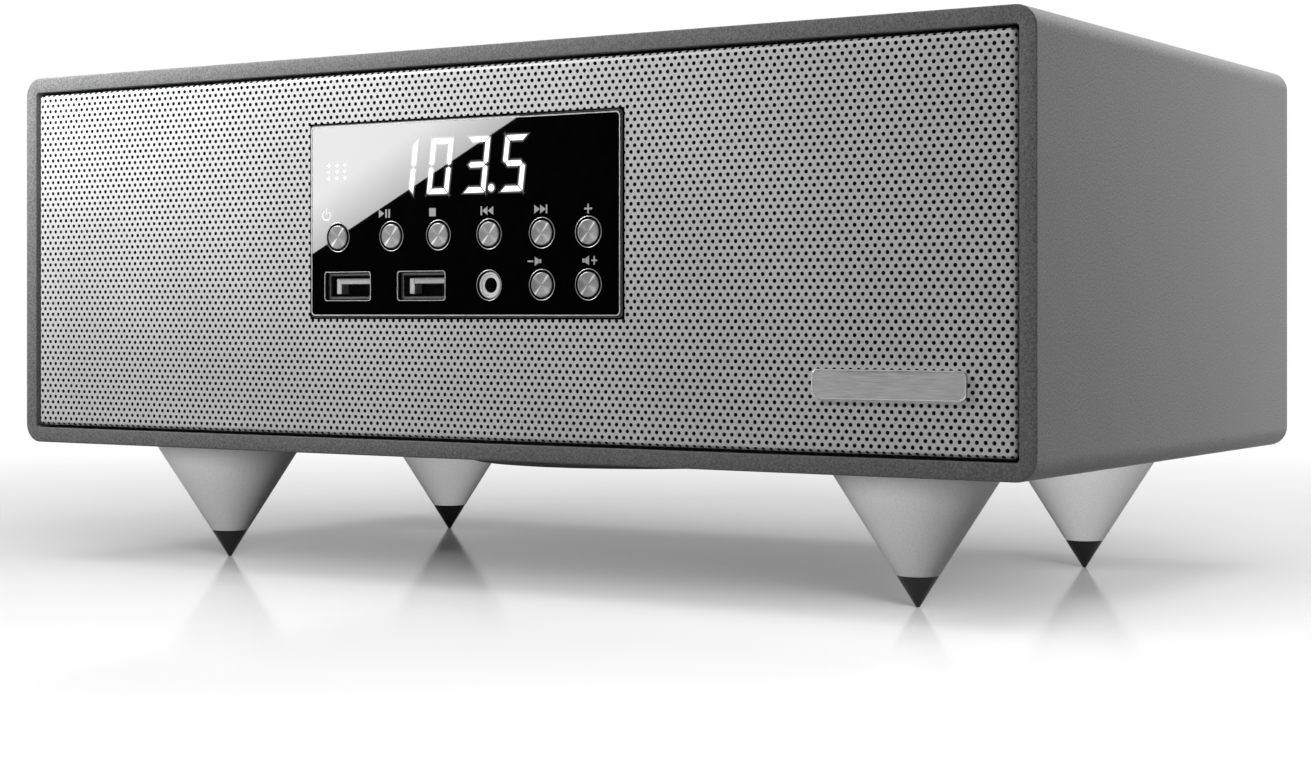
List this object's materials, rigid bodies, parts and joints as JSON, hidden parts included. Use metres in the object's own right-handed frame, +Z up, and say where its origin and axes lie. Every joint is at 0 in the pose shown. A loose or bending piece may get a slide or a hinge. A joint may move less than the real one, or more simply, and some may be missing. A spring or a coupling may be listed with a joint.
{
  "type": "mini hifi system",
  "caption": "Low box-shaped tabletop hifi with a perforated front grille, a gloss control panel with buttons and sockets, and pointed cone feet.",
  "frame": {"origin": "on the standing surface, below the middle of the object's length and depth", "axes": "+X to the right seen from the front, +Y to the rear, +Z up"},
  "size_m": [0.3, 0.1688, 0.1322],
  "materials": {
    "cabinet_paint": "satin",
    "raw_board": "matte",
    "grille_paint": "satin",
    "foam": "matte",
    "brushed_plate": "brushed",
    "black_gloss": "gloss",
    "black_plastic": "matte",
    "circuit_board": "satin",
    "screw_steel": "satin",
    "plated_metal": "polished",
    "spacer_brass": "satin",
    "can_metal": "satin",
    "foot_paint": "satin",
    "tip_black": "polished",
    "speaker_steel": "satin",
    "coil_copper": "satin",
    "speaker_cone": "matte",
    "speaker_rubber": "matte"
  },
  "bodies": {
    "cabinet": {"aerial_socket": "plated_metal", "amplifier_board": "circuit_board", "aux_jack": "plated_metal", "badge_plate": "brushed_plate", "bass_port": "black_plastic", "board_spacers": "spacer_brass", "cabinet_shell": "cabinet_paint", "capacitors": "can_metal", "control_board": "circuit_board", "control_housing": "black_plastic", "control_screws": "screw_steel", "control_window": "black_gloss", "foot_bolts": "screw_steel", "foot_front_left": "foot_paint", "foot_front_right": "foot_paint", "foot_rear_left": "foot_paint", "foot_rear_right": "foot_paint", "foot_tips": "tip_black", "front_baffle": "raw_board", "grille": "grille_paint", "grille_foam_strip": "foam", "heat_sink": "can_metal", "led_display": "black_plastic", "left_speaker_frame": "speaker_steel", "left_speaker_magnet": "speaker_steel", "left_speaker_suspension": "speaker_rubber", "mains_inlet": "black_plastic", "nfc_coil": "circuit_board", "power_board": "circuit_board", "radio_module": "circuit_board", "rear_panel": "black_plastic", "rear_screws": "screw_steel", "right_speaker_frame": "speaker_steel", "right_speaker_magnet": "speaker_steel", "right_speaker_suspension": "speaker_rubber", "switch_frame": "black_plastic", "tact_switches": "black_plastic", "transformer": "screw_steel", "usb_socket_left": "plated_metal", "usb_socket_right": "plated_metal", "wood_screws": "screw_steel", "woofer_cover": "black_plastic", "woofer_frame": "speaker_steel", "woofer_magnet": "speaker_steel", "woofer_suspension": "speaker_rubber"},
    "power_button": {"power_button": "plated_metal"},
    "play_button": {"play_button": "plated_metal"},
    "stop_button": {"stop_button": "plated_metal"},
    "previous_button": {"previous_button": "plated_metal"},
    "next_button": {"next_button": "plated_metal"},
    "preset_button": {"preset_button": "plated_metal"},
    "volume_down_button": {"volume_down_button": "plated_metal"},
    "volume_up_button": {"volume_up_button": "plated_metal"},
    "power_rocker": {"power_rocker": "black_plastic"},
    "left_speaker_moving": {"left_speaker_cone": "speaker_cone", "left_speaker_coil": "coil_copper"},
    "right_speaker_moving": {"right_speaker_cone": "speaker_cone", "right_speaker_coil": "coil_copper"},
    "woofer_moving": {"woofer_cone": "speaker_cone", "woofer_coil": "coil_copper"}
  },
  "joints": [
    {"name": "power_button_press", "type": "slide", "parent": "cabinet", "child": "power_button", "axis": [0, 1, 0], "range_m": [0, 0.0005], "stiffness_N_per_m": 600},
    {"name": "play_button_press", "type": "slide", "parent": "cabinet", "child": "play_button", "axis": [0, 1, 0], "range_m": [0, 0.0005], "stiffness_N_per_m": 600},
    {"name": "stop_button_press", "type": "slide", "parent": "cabinet", "child": "stop_button", "axis": [0, 1, 0], "range_m": [0, 0.0005], "stiffness_N_per_m": 600},
    {"name": "previous_button_press", "type": "slide", "parent": "cabinet", "child": "previous_button", "axis": [0, 1, 0], "range_m": [0, 0.0005], "stiffness_N_per_m": 600},
    {"name": "next_button_press", "type": "slide", "parent": "cabinet", "child": "next_button", "axis": [0, 1, 0], "range_m": [0, 0.0005], "stiffness_N_per_m": 600},
    {"name": "preset_button_press", "type": "slide", "parent": "cabinet", "child": "preset_button", "axis": [0, 1, 0], "range_m": [0, 0.0005], "stiffness_N_per_m": 600},
    {"name": "volume_down_button_press", "type": "slide", "parent": "cabinet", "child": "volume_down_button", "axis": [0, 1, 0], "range_m": [0, 0.0005], "stiffness_N_per_m": 600},
    {"name": "volume_up_button_press", "type": "slide", "parent": "cabinet", "child": "volume_up_button", "axis": [0, 1, 0], "range_m": [0, 0.0005], "stiffness_N_per_m": 600},
    {"name": "power_rocker_tilt", "type": "hinge", "parent": "cabinet", "child": "power_rocker", "pos_m": [0.076, 0.0742, 0.0622], "axis": [0, 0, 1], "range_deg": [0, 18]},
    {"name": "left_speaker_travel", "type": "slide", "parent": "cabinet", "child": "left_speaker_moving", "axis": [0, -1, 0], "range_m": [-0.0015, 0.0015], "stiffness_N_per_m": 1200, "deforming": ["left_speaker_suspension"]},
    {"name": "right_speaker_travel", "type": "slide", "parent": "cabinet", "child": "right_speaker_moving", "axis": [0, -1, 0], "range_m": [-0.0015, 0.0015], "stiffness_N_per_m": 1200, "deforming": ["right_speaker_suspension"]},
    {"name": "woofer_travel", "type": "slide", "parent": "cabinet", "child": "woofer_moving", "axis": [0, 0, -1], "range_m": [-0.002, 0.002], "stiffness_N_per_m": 1200, "deforming": ["woofer_suspension"]}
  ]
}
